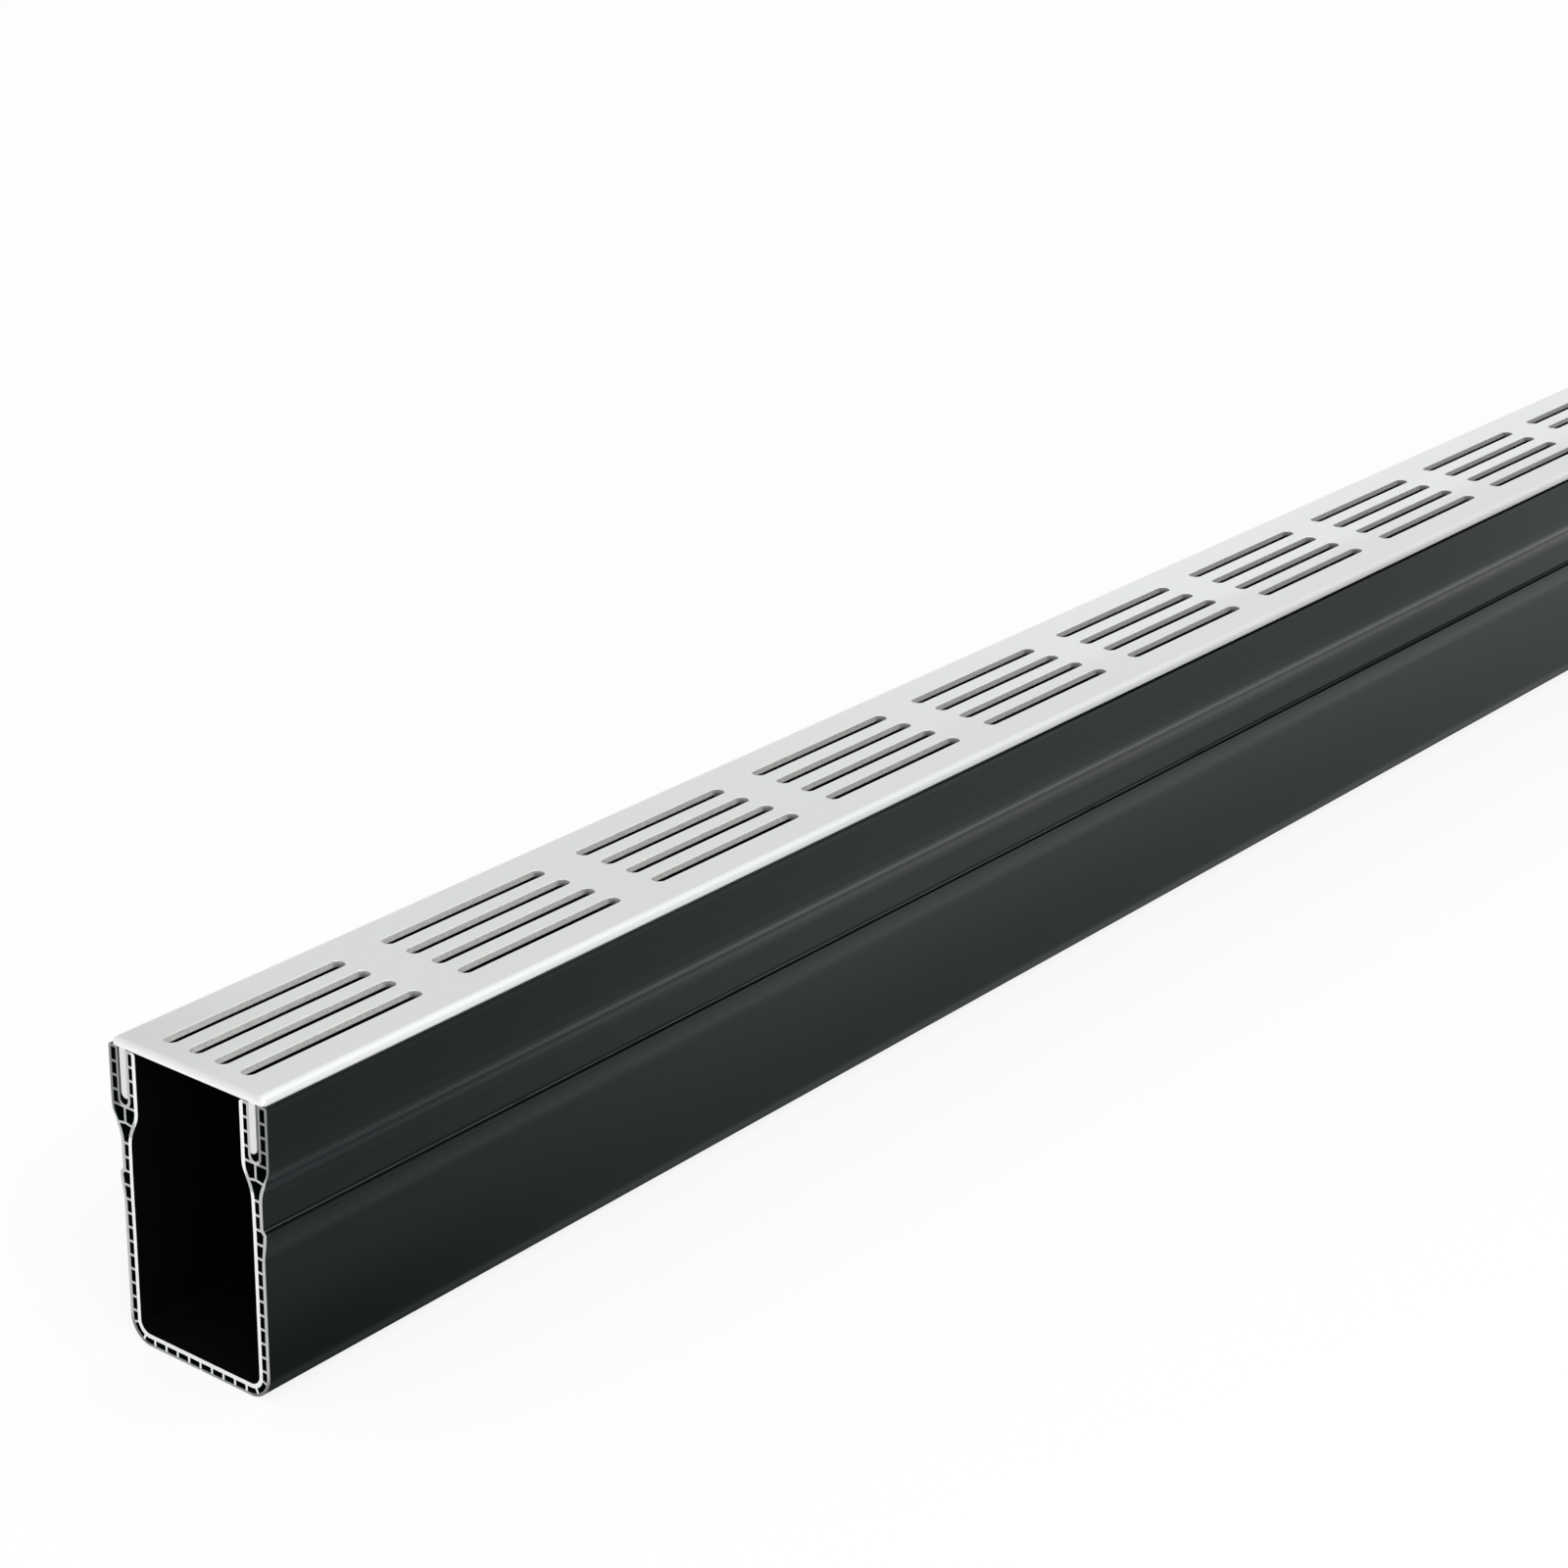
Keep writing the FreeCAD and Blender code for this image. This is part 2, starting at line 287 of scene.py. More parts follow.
plasticLook = {
    "skin": (0.0116, 0.0190, 0.0166),
    "skinShaded": (0.0006, 0.0012, 0.0014),
    "skinLow": (0.0, 0.0055, 0.0048),
    "skinCool": (0.0, 0.0046, 0.0056),
    "skinShoulder": (0.0100, 0.0125, 0.0098),
    "skinHighlight": (0.022, 0.038, 0.036),
    "skinHighlightBand": (0.0170, 0.0228, 0.0196),
    "skinLitTop": (0.024, 0.030, 0.025),
    "skinFoot": (0.0, 0.0042, 0.0042),
    "ledgeHighlight": (0.078, 0.084, 0.084),
    # painted shade: the inside of the trough is almost black
    "inside": (0.0015, 0.0018, 0.0018),
    "cut": (0.50, 0.51, 0.50),
    "cutInner": (0.86, 0.87, 0.86),
    "cutOuterLimb": (0.24, 0.25, 0.245),
    "cutBase": (0.32, 0.33, 0.32),
    "cutCorner": (0.165, 0.17, 0.165),
    "gloss": 0.10,
    "tint": (0.80, 1.0, 0.97),
    "streaks": (0.6, 60.0, 14.0, 3.0),
    "grain": (3.0, 60.0, 120.0, 2.0),
    # painted shade: where the skin is lit and where it is darker
    "shadeUp": (10 * mm, 40 * mm, 0.05, 1.0),
    "shadeAlong": (0.25, 0.5, 1.0, 0.30),
    "headUp": (41 * mm, 48 * mm),
    "headAlong": (0.0, 0.18, 0.45, 1.0),
    "limbUp": (60 * mm, 66 * mm, 1.0, 0.70),
    "underLimb": (58 * mm, 9 * mm),
    "underLimbAlong": (0.30, 0.45),
    # painted highlight band and lines, a painted shade line, and tints low down
    "shoulder": (57 * mm, 13 * mm),
    "band": (41 * mm, 13 * mm),
    "bandAlong": (0.36, 0.48, 1.0, 0.0),
    "litTopLine": (76.9 * mm, 2.2 * mm),
    "highlightLine": (59.0 * mm, 1.2 * mm),
    "shadeLine": (60.25 * mm, 0.9 * mm),
    "shadeLineDepth": 0.7,
    "lowUp": (18 * mm, 38 * mm, 1.0, 0.0),
    "lowAlong": (0.30, 0.48, 1.0, 0.0),
    "footUp": (2.5 * mm, 6.5 * mm, 1.0, 0.0),
    "streakTone": (0.3, 0.7, 0.96, 1.04),
    # painted shade lines along the ledge and the top of the outer limb, and the ledge's painted
    # highlight
    "outside": 22.5 * mm,
    "ledgeSlope": 0.0003,
    "ledgeHighlightLine": (45.40 * mm, 0.34 * mm),
    "ledgeHighlightAlong": (-0.20, 0.02, 0.8, 0.2),
    "ledgeHighlightNoise": (2.0, 8.0, 30.0),
    "ledgeHighlightBreaks": (0.2, 0.5),
    "lowerLine": (45.05 * mm, 0.64 * mm),
    "lowerLineGain": 1.6,
    "lowerLineAlong": (-0.5, -0.35, 0.75, 1.0),
    "upperLine": (45.72 * mm, 1.20 * mm),
    "upperLineAlong": (-0.5, 0.0, 0.62, 0.92),
    "limbTopShade": (77.08 * mm, 77.72 * mm),
    "limbTopShadeAlong": (0.15, 0.38, 1.0, 0.0),
    "lineDepth": 0.93,
    # painted shade inside the trough, and sawn end faces
    "insideHalfWidth": 20.3 * mm,
    "insideFloor": 3.1 * mm,
    "endFace": 499.95 * mm,
    "neck": 54.7 * mm,
    "innerSkinBelow": 21.2 * mm,
    "innerSkinAbove": 18.5 * mm,
    "outerLimb": 22.9 * mm,
    "outerLimbUp": (58 * mm, 61 * mm),
    "baseSkinTop": 0.6 * mm,
    "baseCorner": (16.85 * mm, 6.7 * mm),  # the trough's cornerPivot
    "cornerSkin": (5.8 * mm, 6.2 * mm),
    "cornerAcross": (-1.0 * mm, 1.5 * mm),
    "cornerUp": (4.0 * mm, 8.0 * mm, 1.0, 0.0),
    # roughness and bump
    "roughness": 0.13,
    "streakRough": (0.3, 0.7, 0.0, 0.04),
    "cutRough": 0.3,
    "insideRough": 0.4,
    "footRoughAlong": (0.10, 0.45, 0.4125, 0.55),
    "limbRough": (58 * mm, 12 * mm),
    "limbRoughAlong": (0.35, 0.5, 0.0, 0.16),
    "sinkLevels": (73.4 * mm, 69.8 * mm, 66.1 * mm, 62.4 * mm),  # the trough's headRibs
    "sinkWidth": 1.6 * mm,
    "sinkDepth": -0.8,
    "streakDepth": 0.25,
    "grainDepth": 0.10,
    "bumpDepth": 0.02 * mm,
    # how much of the sheen is taken off, as painted shade
    "dullUp": (8 * mm, 34 * mm, 1.0, 0.0),
    "dullAlong": (0.36, 0.50, 0.0, 0.42),
    "dullShoulderAlong": (0.30, 0.48, 0.0, 0.24),
    "dullFootAlong": (0.36, 0.50, 0.0, 0.56),
    "belowShoulder": (54.8 * mm, 3.5 * mm),
    "belowAlong": (0.0, 0.12, 0.17, 0.07),
    "belowFarAlong": (0.30, 0.47, 0.0, 0.18),
    "onShoulder": (58.15 * mm, 0.8 * mm),
    "dullOnShoulder": 0.20,
    "aboveShoulder": (60.7 * mm, 1.7 * mm),
    "aboveAlong": (0.30, 0.47, 0.10, 0.22),
    "dullInside": 0.5,
}


def sawnPlastic(finish, across, up):
    # end faces: the inner skin is cut brightest, the outer limb and the base are greyer
    look = plasticLook
    inner = (across < look["innerSkinBelow"]) * (up < look["neck"])
    inner = inner + (across < look["innerSkinAbove"]) * (up > look["neck"])
    limb = (across > look["outerLimb"]) * up.ramp(*look["outerLimbUp"])
    cornerY, cornerZ = across - look["baseCorner"][0], up - look["baseCorner"][1]
    reach = (cornerY * cornerY + cornerZ * cornerZ) ** 0.5
    corner = reach.ramp(*look["cornerSkin"]) * cornerY.ramp(*look["cornerAcross"])
    return finish.painted(
        look["cut"], (inner, look["cutInner"]), (limb, look["cutOuterLimb"]),
        (up < look["baseSkinTop"], look["cutBase"]),
        (corner * up.ramp(*look["cornerUp"]), look["cutCorner"]))


def channelPlastic():
    look = plasticLook
    material = bpy.data.materials.new("channelPlastic")
    finish = Finish(material)
    along, aside, up = finish.readPlace()
    across, end = abs(aside), abs(along)
    streaks = finish.stretched(*look["streaks"])
    grain = finish.stretched(*look["grain"])
    shoulder = up.hump(*look["shoulder"])
    foot = up.ramp(*look["footUp"])
    # painted shade: darker to the ends and base, a little on the head, on the upper limb and
    # shoulder
    head = up.ramp(*look["headUp"]) * (1.0 - end.ramp(*look["headAlong"]))
    underLimb = up.hump(*look["underLimb"]) * end.ramp(*look["underLimbAlong"])
    shade = end.ramp(*look["shadeAlong"]) * up.ramp(*look["shadeUp"]) * (1.0 - head)
    shade = shade * up.ramp(*look["limbUp"]) * (1.0 - underLimb)
    # painted light: highlight band low on the wall, lit line under the plate, shoulder highlight,
    # shade line
    bright = finish.painted(
        look["skin"],
        (up.hump(*look["band"]) * end.ramp(*look["bandAlong"]), look["skinHighlightBand"]),
        (up.hump(*look["litTopLine"]), look["skinLitTop"]),
        (shoulder, look["skinShoulder"]),
        (up.hump(*look["highlightLine"]), look["skinHighlight"]),
        (up.hump(*look["shadeLine"]) * look["shadeLineDepth"], look["skinShaded"]))
    # the painted shade colour, tinted low down, at the foot and on the shoulder
    dark = finish.painted(
        look["skinShaded"],
        (up.ramp(*look["lowUp"]) * end.ramp(*look["lowAlong"]), look["skinLow"]),
        (foot, look["skinFoot"]),
        (shoulder, look["skinCool"]))
    skin = finish.blend(shade, dark, bright)
    # painted shade: dark lines without a shine along the ledge, and on top of the head under the
    # plate
    outside = across > look["outside"]
    ledge = up + along * look["ledgeSlope"]
    lower = (ledge.hump(*look["lowerLine"]) * look["lowerLineGain"]).smaller(1.0)
    lower = lower * outside * along.ramp(*look["lowerLineAlong"])
    upper = ledge.hump(*look["upperLine"]) * outside * along.ramp(*look["upperLineAlong"])
    limbTopShade = up.ramp(*look["limbTopShade"]) * outside * end.ramp(*look["limbTopShadeAlong"])
    darkened = lower.larger(limbTopShade) * look["lineDepth"]
    skin = finish.tone(skin, streaks.ramp(*look["streakTone"]) * (1.0 - darkened))
    # painted highlight: the ledge's edge is painted pale, strongest at the near end, broken up by
    # noise
    ledgeHighlightLine = ledge.hump(*look["ledgeHighlightLine"]) * outside
    paintedHighlight = ledgeHighlightLine * along.ramp(*look["ledgeHighlightAlong"])
    paintedHighlight = paintedHighlight * finish.stretched(*look["ledgeHighlightNoise"]).ramp(*look["ledgeHighlightBreaks"])
    # painted shade: the inside of the trough is painted almost black
    inside = (across < look["insideHalfWidth"]) * (up > look["insideFloor"])
    cut = end > look["endFace"]
    colour = finish.painted(skin, (paintedHighlight, look["ledgeHighlight"]), (inside, look["inside"]),
                            (cut, sawnPlastic(finish, across, up)))
    roughness = look["roughness"] + streaks.ramp(*look["streakRough"])
    roughness = roughness + cut * look["cutRough"] + inside * look["insideRough"]
    roughness = roughness + foot * end.ramp(*look["footRoughAlong"])
    roughness = roughness + up.hump(*look["limbRough"]) * end.ramp(*look["limbRoughAlong"])
    # shallow sinks in the skin where the ribs stand behind it
    sinks = sum(up.hump(level, look["sinkWidth"]) for level in look["sinkLevels"])
    height = sinks * look["sinkDepth"] + streaks * look["streakDepth"] + grain * look["grainDepth"]
    shine = finish.principled(
        base_color=colour, roughness=roughness, normal=finish.bump(height, look["bumpDepth"]),
        specular_ior_level=look["gloss"], specular_tint=look["tint"])
    # the sheen is taken off the painted lines, and as painted shade low down and beside the
    # shoulder
    dull = lower.larger(upper).larger(limbTopShade).larger(ledgeHighlightLine)
    dull = dull.larger(end.ramp(*look["dullAlong"]) * up.ramp(*look["dullUp"]))
    dull = dull.larger(shoulder * end.ramp(*look["dullShoulderAlong"]))
    dull = dull.larger(foot * end.ramp(*look["dullFootAlong"]))
    below = end.ramp(*look["belowAlong"]) + end.ramp(*look["belowFarAlong"])
    dull = dull + up.hump(*look["belowShoulder"]) * below
    dull = dull + up.hump(*look["onShoulder"]) * look["dullOnShoulder"]
    dull = dull + up.hump(*look["aboveShoulder"]) * end.ramp(*look["aboveAlong"])
    dull = dull.larger(inside * look["dullInside"])
    plain = finish.node("BsdfDiffuse", inputs={"Color": colour})
    finish.shown(finish.node("MixShader", inputs={0: dull * (1.0 - cut), 1: shine, 2: plain}))
    return material


# Brushed metal of the grating, with ramps as above

metalLook = {
    "colour": (0.70, 0.72, 0.70),
    "wall": (0.69, 0.705, 0.68),
    "cut": (0.80, 0.81, 0.80),
    "brushed": (4.0, 160.0, 10.0, 3.0, 0.6),
    "chatter": (55.0, 70.0, 20.0, 4.0, 0.7),
    # painted light on the top of the plate
    "plateAlong": (-0.5, -0.05, 0.96, 1.0),
    "middleAlong": (-0.35, -0.05),
    "middleAside": (-12 * mm, 0.0, 0.0, 0.10),
    "nearEndAlong": (-0.5, -0.45, 1.0, 0.0),
    "nearEndAside": (-20 * mm, 20 * mm, 0.0, 0.08),
    "brushTone": (0.3, 0.7, 0.985, 1.015),
    # painted highlight on the rounded long edge
    "underside": 77.75 * mm,
    "edgeAcross": (23.0 * mm, 24.0 * mm),
    "edgeAlong": (0.0, 0.52, 0.06, 0.28),
    "edgeFallUp": (78.0 * mm, 79.95 * mm, 1.0, 0.0),
    "edgeFallAlong": (0.0, 0.52, 0.40, 0.16),
    # slots, with a painted rim highlight and painted shade on their walls
    "slotHalfWidth": 16.0 * mm,
    "slotEnd": 495.0 * mm,
    "slotWall": (79.66 * mm, 79.90 * mm, 1.0, 0.0),
    "slotRimHighlight": (79.86 * mm, 79.995 * mm, 0.12, 0.0),
    "slotBreak": (78.08 * mm, 78.22 * mm),
    "wallFootShade": (0.01, 1.0),
    "wallMatt": (0.0, 0.8),
    "wallLightUp": (78.2 * mm, 79.6 * mm, 1.10, 0.88),
    "chatterTone": (0.3, 0.7, 0.86, 1.11),
    "wallAlong": (-0.45, 0.0, 1.0, 0.69),
    "halfLength": 0.5,
    "slotPitch": 1.0 / 14,
    "slotEndPart": (0.855, 0.880),
    "slotEndUp": (78.2 * mm, 79.7 * mm, 0.85, 0.30),
    # sawn ends with painted shade, and the foot of the long edge
    "endFace": (498.8 * mm, 499.9 * mm),
    "sawnShadeUp": (78.0 * mm, 79.9 * mm, 1.12, 0.86),
    "legTop": 77.69 * mm,
    "legShade": 0.21,
    "sawnMatt": 0.6,
    "footAcross": (24.6 * mm, 25.0 * mm),
    "footUp": (77.9 * mm, 79.0 * mm, 1.0, 0.0),
    "footMatt": 0.8,
    # roughness and bump
    "roughness": 0.34,
    "brushRough": (0.3, 0.7, 0.0, 0.08),
    "wallRough": 0.25,
    "chatterDepth": 2.0,
    "bumpDepth": 0.01 * mm,
}


def gratingMetal():
    look = metalLook
    material = bpy.data.materials.new("gratingMetal")
    finish = Finish(material)
    along, aside, up = finish.readPlace()
    across, end = abs(aside), abs(along)
    brushed = finish.stretched(*look["brushed"])
    chatter = finish.stretched(*look["chatter"])
    slots = (across < look["slotHalfWidth"]) * (end < look["slotEnd"])
    wall = slots * up.ramp(*look["slotWall"])
    cut = end.ramp(*look["endFace"])
    # painted light: the plate is paler along its middle and away from the sawn end, darker on one
    # side near it
    level = along.ramp(*look["plateAlong"])
    level = level + along.ramp(*look["middleAlong"]) * aside.ramp(*look["middleAside"])
    level = level - along.ramp(*look["nearEndAlong"]) * aside.ramp(*look["nearEndAside"])
    # painted highlight: long edge brighter towards the ends, falling off downwards; slot rims get
    # one too
    fall = up.ramp(*look["edgeFallUp"]) * end.ramp(*look["edgeFallAlong"])
    edge = across.ramp(*look["edgeAcross"]) * (up > look["underside"])
    edge = edge * (end.ramp(*look["edgeAlong"]) - fall)
    edge = edge + slots * up.ramp(*look["slotRimHighlight"])
    top = finish.tone(look["colour"], (level + edge) * brushed.ramp(*look["brushTone"]))
    # slot walls: lighter above, painted near black shade at the foot, darker away from the near
    # end, shaded at slot ends
    part = ((along + look["halfLength"]) / look["slotPitch"]).maths("FRACT")
    shaded = part.ramp(*look["slotEndPart"]) * up.ramp(*look["slotEndUp"])
    wallLightShade = up.ramp(*look["slotBreak"], *look["wallFootShade"]) * up.ramp(*look["wallLightUp"])
    wallTone = chatter.ramp(*look["chatterTone"]) * wallLightShade * (1.0 - shaded)
    wallTone = wallTone * along.ramp(*look["wallAlong"])
    # painted shade: the sawn end is darker towards its top and on the legs
    sawn = up.ramp(*look["sawnShadeUp"]) - (up < look["legTop"]) * look["legShade"]
    colour = finish.painted(top, (wall, finish.tone(look["wall"], wallTone)),
                            (cut, finish.tone(look["cut"], sawn)))
    foot = across.ramp(*look["footAcross"]) * up.ramp(*look["footUp"])
    matt = wall * up.ramp(*look["slotBreak"], *look["wallMatt"])
    matt = matt.larger(cut * look["sawnMatt"]).larger(foot * look["footMatt"])
    roughness = look["roughness"] + brushed.ramp(*look["brushRough"]) + wall * look["wallRough"]
    height = brushed + wall * chatter * look["chatterDepth"]
    finish.shown(finish.principled(
        base_color=colour, metallic=1.0 - matt, roughness=roughness,
        normal=finish.bump(height, look["bumpDepth"])))
    return material


def dress(node, material):
    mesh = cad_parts[node].data
    mesh.materials.clear()
    mesh.materials.append(material)


plastic = channelPlastic()
metal = gratingMetal()
dress("channel_body", plastic)
dress("grating", metal)
print("finishes set")


# Trough: outer line of the extrusion and line of its hollow, in mm from the middle of the base.
# Each corner is (across, height, rounding)

trough = {
    "length": 1000.0,
    "outline": [
        (0, 0.4, 0), (0.55, 0, 0), (23.55, 0, 6.7), (23.55, 38.3, 10), (24.05, 41.0, 15),
        (24.34, 43.3, 4), (24.34, 44.05, 2), (24.4, 44.75, 0.2), (23.4, 45.9, 0.25),
        (23.4, 54.5, 9), (24.58, 57.15, 6), (24.84, 58.55, 4.5), (26.037, 60.85, 4.5),
        (26.125, 64.5, 20), (26.125, 77.7, 0.55), (23.025, 77.7, 0.3), (23.025, 62.9, 1.325),
        (20.375, 62.9, 1.325), (20.375, 77.45, 0), (17.275, 77.45, 0.9), (17.275, 60.6, 5),
        (20.0, 54.7, 9), (20.15, 44.75, 0), (20.15, 3.25, 3.0), (0, 3.25, 0)],
    "hollow": [
        (0, 0.6, 0), (22.65, 0.6, 5.9), (22.65, 36.55, 0), (23.5, 44.3, 0), (22.45, 45.45, 0),
        (22.45, 54.7, 9.95), (25.375, 60.6, 4.25), (25.375, 77.05, 0), (23.775, 77.05, 0),
        (23.775, 62.15, 2.075), (19.625, 62.15, 2.075), (19.625, 76.8, 0), (18.375, 76.8, 0),
        (18.375, 60.6, 3.9), (21.0, 54.7, 10), (21.15, 44.75, 0), (21.15, 2.15, 3.9),
        (0, 2.15, 0)],
    "segmentTurn": 7.0,  # degrees of a rounding that one facet turns
    "rib": 0.6,
    "headRibs": (73.4, 69.8, 66.1, 62.4),
    "wallRibs": (8.1, 52.8, 13),  # first, last, how many
    "floorRibs": (3.8875, 4),  # pitch, how many either side of the middle
    "grooveAxis": 21.7,
    "fanNode": 58.2,  # where the ribs under a groove meet
    "fanRun": (4.425, -0.8),
    "fanClear": (0.1, 0.3),  # above and below the node
    "headCell": (52.5, 62.1),
    "cornerPivot": (16.85, 6.7),
    "cornerRibs": (18.0, 65.0),
    "cornerCell": (15.9, 7.75),
    "smoothAngle": 30.0,
}


def faceSpot(face):
    spot = face.calc_center_median()
    return spot.y / mm, spot.z / mm


def atEnd(y, z):
    return Vector((-trough["length"] / 2 * mm, y * mm, z * mm))


def splitCell(cells, point, across, region):
    pick(cells, lambda face: region(*faceSpot(face)))
    bpy.ops.mesh.bisect(plane_co=atEnd(*point), plane_no=across, threshold=bisectSnap)


def cutRib(cells, point, run, region):
    # a rib is a strip left out of the hollow: two cuts, and the strip between them goes
    across = Vector((0.0, -run[1], run[0])).normalized()
    half = trough["rib"] / 2
    for side in (-half, half):
        splitCell(cells, (point[0] + across.y * side, point[1] + across.z * side), across, region)
    place = atEnd(*point)
    pick(cells, lambda face: region(*faceSpot(face)) and all(
        abs((vert.co - place).dot(across)) < half * mm + weld for vert in face.verts))
    bpy.ops.mesh.delete(type="FACE")


def cutHead(cells, side):
    # fanned ribs under the groove
    low, high = trough["headCell"]
    axis = trough["grooveAxis"]
    node = (axis * side, trough["fanNode"])
    clearAbove, clearBelow = trough["fanClear"]
    inHead = lambda y, z: low < z < high and y * side > 0
    splitCell(cells, node, (0, 1, 0), inHead)
    for way in (-1, 1):
        cutRib(cells, node, (way * side * trough["fanRun"][0], trough["fanRun"][1]),
               lambda y, z: inHead(y, z) and (y * side - axis) * way > 0)
    cutRib(cells, node, (0, 1), lambda y, z: inHead(y, z) and z > node[1] + clearAbove)
    # below the fan the two halves are one cell again
    underFan = lambda y, z: inHead(y, z) and z < node[1] - clearBelow
    pick(cells, lambda face: underFan(*faceSpot(face)))
    bpy.ops.mesh.dissolve_faces()


def cutCells(cells):
    editAll(cells)
    first, last, count = trough["wallRibs"]
    wallRibs = [first + (last - first) * index / (count - 1) for index in range(count)]
    for level in (*trough["headRibs"], *wallRibs):
        cutRib(cells, (0, level), (1, 0), lambda y, z: True)
    pitch, half = trough["floorRibs"]
    cornerStart, cornerTop = trough["cornerCell"]
    for index in range(-half, half + 1):
        cutRib(cells, (index * pitch, 0), (0, 1), lambda y, z: z < cornerTop)
    pivotY, pivotZ = trough["cornerPivot"]
    for side in (-1, 1):
        cutHead(cells, side)
        for angle in trough["cornerRibs"]:
            run = (math.cos(math.radians(angle)) * side, -math.sin(math.radians(angle)))
            cutRib(cells, (pivotY * side, pivotZ), run,
                   lambda y, z: y * side > cornerStart and z < cornerTop)
    bpy.ops.object.mode_set(mode="OBJECT")


def dropFaces(piece):
    editAll(piece)
    bpy.ops.mesh.delete(type="ONLY_FACE")
    bpy.ops.object.mode_set(mode="OBJECT")


def makeTrough():
    start = -trough["length"] / 2
    skin = sketch("channelTrough", bothSides(trough["outline"]), start, trough["segmentTurn"])
    cells = sketch("channelCells", bothSides(trough["hollow"]), start, trough["segmentTurn"])
    cutCells(cells)
    dropFaces(skin)
    dropFaces(cells)
    body = joined([skin, cells])
    editAll(body)
    bpy.ops.mesh.remove_doubles(threshold=weld)
    bpy.ops.mesh.fill(use_beauty=True)
    pullLengthwise(trough["length"])
    bpy.ops.object.mode_set(mode="OBJECT")
    finished(body, trough["smoothAngle"], plastic, "channel_body")


makeTrough()


# Grating: plate with a leg under each side, in mm, then the punched slots

grating = {
    "length": 1000.0,
    "outline": [
        (0, 77.7, 0), (20.425, 77.7, 0), (20.425, 64.7, 0.4), (22.475, 64.7, 1.5),
        (22.475, 77.7, 0), (25.2, 77.7, 0), (25.2, 80.0, 2.1), (0, 80.0, 0)],
    "segmentTurn": 9.0,
    "endRounding": 1.2,
    "endSegments": 5,
    "roundedAbove": 77.75,
    "roundedLip": (25.1, 77.69),  # past this and above this the underside's corner goes too
    "top": 80.0,
    "slotPitch": 1000.0 / 14,
    "slotGroups": 14,
    "slotStart": 5.9,
    "slotLength": 57.4,
    "slotWidth": 3.75,
    "slotRows": (-12.765, -4.255, 4.255, 12.765),
    "slotEndSegments": 9,
    "slotEndFlat": 0.05,
    "edgeRounding": 0.45,
    "edgeSegments": 4,
    "cutBelow": 77.0,
    "cutAbove": 81.0,
    "smoothAngle": 30.0,
}


def makePlate():
    start = -grating["length"] / 2
    plate = sketch("gratingPlate", bothSides(grating["outline"]), start, grating["segmentTurn"])
    editAll(plate)
    pullLengthwise(grating["length"])
    # the sawn ends are dressed: their upper edge is rounded over
    lipY, lipZ = grating["roundedLip"]
    inLip = lambda vert: vert.co.z > lipZ * mm and abs(vert.co.y) > lipY * mm
    upper = lambda vert: vert.co.z > grating["roundedAbove"] * mm or inLip(vert)
    across = lambda edge: abs(edge.verts[0].co.x - edge.verts[1].co.x) < near
    pick(plate, lambda edge: across(edge) and all(upper(vert) for vert in edge.verts), "EDGE")
    bpy.ops.mesh.bevel(offset=grating["endRounding"] * mm, segments=grating["endSegments"],
                       affect="EDGES", profile=0.5)
    bpy.ops.object.mode_set(mode="OBJECT")
    return plate


def makePunch():
    # one punch: wide at the top, its edge rounded in, then straight down through the plate
    rounding = grating["edgeRounding"]
    length = grating["slotLength"] + 2 * rounding
    width = grating["slotWidth"] + 2 * rounding
    height = grating["cutAbove"] - grating["top"]
    middle = (-grating["length"] / 2 + grating["slotStart"] + grating["slotLength"] / 2,
              grating["slotRows"][0], grating["top"] + height / 2)
    bpy.ops.mesh.primitive_cube_add(size=1.0, location=[place * mm for place in middle],
                                    scale=(length * mm, width * mm, height * mm))
    punch = bpy.context.object
    punch.name = "slotPunch"
    bpy.ops.object.transform_apply(location=True, rotation=False, scale=True)
    bpy.ops.object.mode_set(mode="EDIT")
    upright = lambda edge: abs(edge.verts[0].co.z - edge.verts[1].co.z) > height * mm / 2
    pick(punch, upright, "EDGE")
    bpy.ops.mesh.bevel(offset=(width / 2 - grating["slotEndFlat"]) * mm,
                       segments=grating["slotEndSegments"], affect="EDGES")
    facesDown = lambda face: face.normal.z < -0.9
    pick(punch, facesDown)
    count = grating["edgeSegments"]
    steps = [math.radians(90 - 90 * index / count) for index in range(count + 1)]
    for before, after in zip(steps, steps[1:]):
        bpy.ops.mesh.inset(thickness=rounding * (math.cos(after) - math.cos(before)) * mm)
        shift(z=rounding * (math.sin(after) - math.sin(before)))
    pull(z=grating["cutBelow"] - grating["top"] + rounding)
    bpy.ops.object.mode_set(mode="OBJECT")
    return punch


def copied(piece, x=0.0, y=0.0):
    selectOnly(piece)
    bpy.ops.object.duplicate(linked=False)
    twin = bpy.context.object
    editAll(twin)
    shift(x=x, y=y)
    bpy.ops.object.mode_set(mode="OBJECT")
    return twin


def makeGrating():
    plate = makePlate()
    punch = makePunch()
    firstRow, *otherRows = grating["slotRows"]
    group = joined([punch] + [copied(punch, y=row - firstRow) for row in otherRows])
    punches = joined([group] + [copied(group, x=grating["slotPitch"] * index)
                                for index in range(1, grating["slotGroups"])])
    slots = plate.modifiers.new("slots", "BOOLEAN")
    slots.operation = "DIFFERENCE"
    slots.solver = "EXACT"
    slots.object = punches
    selectOnly(plate)
    bpy.ops.object.modifier_apply(modifier=slots.name)
    bpy.data.objects.remove(punches)
    finished(plate, grating["smoothAngle"], metal, "grating")


makeGrating()


# Floor, world and lamps

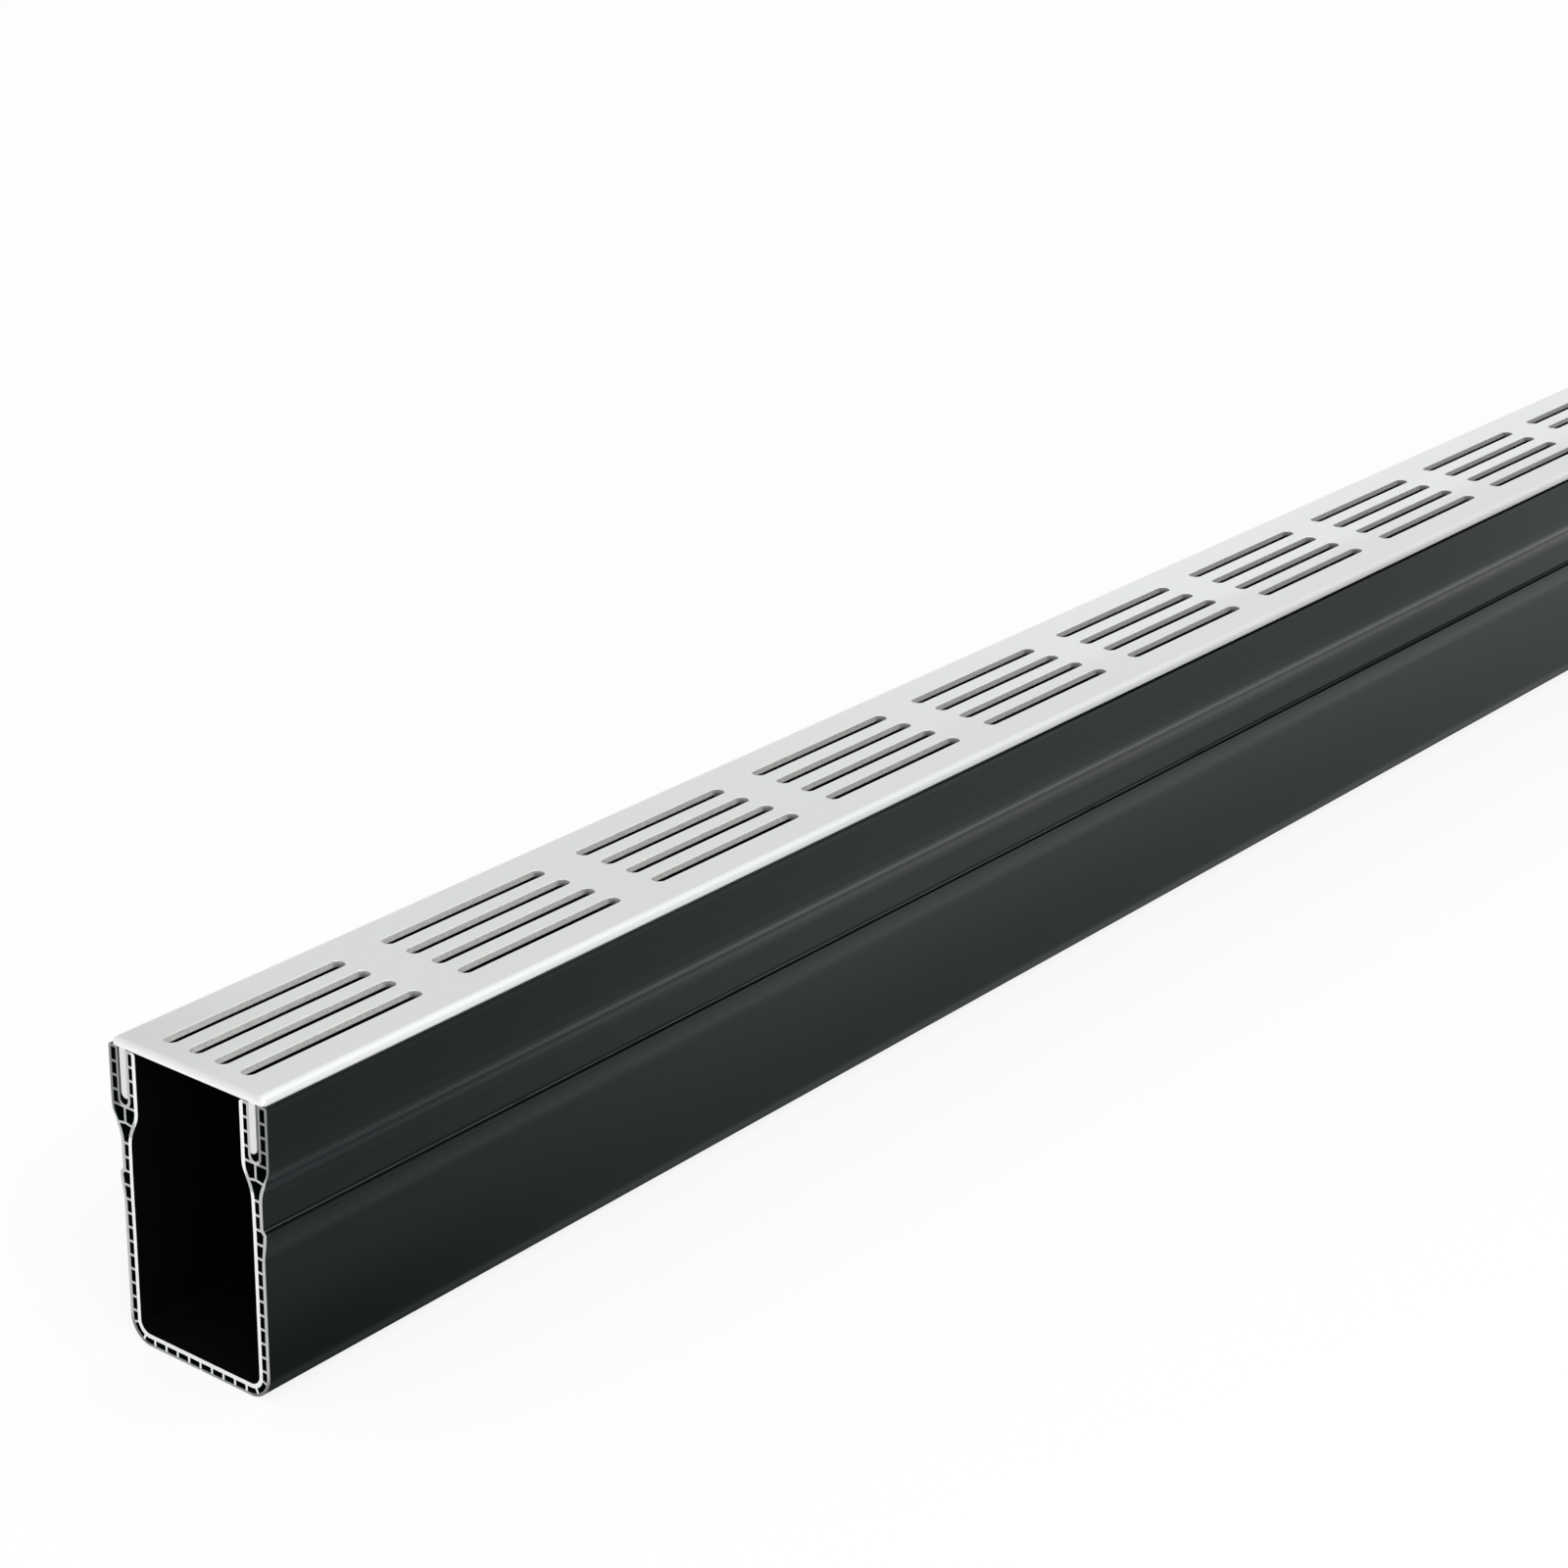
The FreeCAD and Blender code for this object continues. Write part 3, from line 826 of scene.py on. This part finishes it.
studio = {
    "white": (1.0, 1.0, 1.0),
    "floorSize": 30.0,
    "floorColour": (0.93, 0.93, 0.93),
    "floorGlow": 0.85,  # the rest of what the camera sees is the floor with its shadow
    "worldStrength": 0.9,
    "lamps": {
        "keyLamp": {"place": (-1.2, -1.6, 1.6), "aim": (-0.3, 0.0, 0.05),
                    "size": 1.4, "power": 18.0},
        "edgeLamp": {"place": (0.75, -0.98, 1.32), "aim": (-0.4, 0.0, 0.08),
                     "size": 1.0, "power": 0.8},
    },
}


def makeFloor():
    bpy.ops.mesh.primitive_plane_add(size=studio["floorSize"], location=(0, 0, 0))
    floor = bpy.context.object
    floor.name = "floor"
    material = bpy.data.materials.new("floorWhite")
    finish = Finish(material)
    matt = finish.node("BsdfDiffuse", inputs={"Color": studio["floorColour"]})
    glow = finish.node("Emission", inputs={"Color": studio["white"], "Strength": 1.0})
    amount = finish.seenRays() * studio["floorGlow"]
    finish.shown(finish.node("MixShader", inputs={0: amount, 1: matt, 2: glow}))
    floor.data.materials.append(material)


def makeWorld():
    world = bpy.data.worlds.new("studio")
    bpy.context.scene.world = world
    finish = Finish(world, "OutputWorld")
    light, backdrop = (
        finish.node("Background", inputs={"Color": studio["white"], "Strength": strength})
        for strength in (studio["worldStrength"], 1.0))
    finish.shown(finish.node("MixShader", inputs={0: finish.seenRays(), 1: light, 2: backdrop}))


def areaLamp(name, place, aim, size, power):
    bpy.ops.object.light_add(type="AREA", location=place)
    lamp = bpy.context.object
    lamp.name = name
    lamp.data.shape = "SQUARE"
    lamp.data.size = size
    lamp.data.energy = power
    lamp.rotation_euler = (Vector(aim) - Vector(place)).to_track_quat("-Z", "Y").to_euler()


makeFloor()
makeWorld()
for lampName, lampFacts in studio["lamps"].items():
    areaLamp(lampName, **lampFacts)
print("studio set")


# Camera, matched to the photograph's view

camera = {
    "place": (-1.03347, -0.59881, 0.47798),
    "turn": (67.5639, -0.7800, -51.0903),  # degrees
    "sensor": 36.0,
    "lens": 89.0,
}


def makeCamera():
    bpy.ops.object.camera_add(location=camera["place"],
                              rotation=[math.radians(angle) for angle in camera["turn"]])
    view = bpy.context.object
    view.name = "photoCamera"
    view.data.sensor_width = camera["sensor"]
    view.data.lens = camera["lens"]
    bpy.context.scene.camera = view


makeCamera()
bpy.context.scene.view_settings.view_transform = "Standard"
print("camera set")
